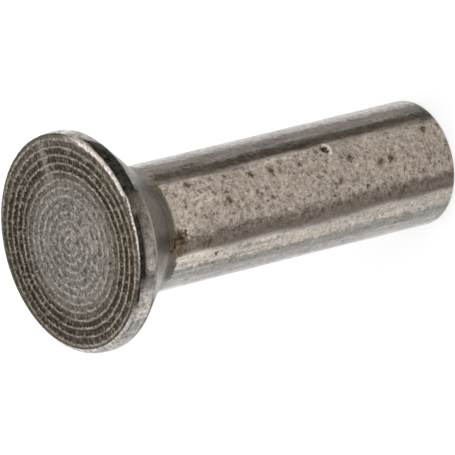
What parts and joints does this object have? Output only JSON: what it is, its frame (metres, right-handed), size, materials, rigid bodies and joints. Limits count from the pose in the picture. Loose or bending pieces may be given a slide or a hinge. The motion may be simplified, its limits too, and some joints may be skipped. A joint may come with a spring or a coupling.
{
  "type": "countersunk head rivet",
  "caption": "Solid rivet: a plain round shank under a flat, ring-turned countersunk head. The plain end is hammered over to join plates for good.",
  "frame": {"origin": "middle of the plain end of the shank, on the surface the rivet stands on", "axes": "+Z along the shank and out through the ringed face of the head; the head sits 0.18 mm off the shank towards +X, and the picture looks from -Y and above"},
  "size_m": [0.014, 0.014, 0.028],
  "materials": {
    "bare_steel": "bare drawn mild steel, speckled with small pits and a little brown rust, with dark grooves between bright ridges on the face"
  },
  "bodies": {
    "root": {"rivet": "bare_steel"}
  },
  "joints": []
}
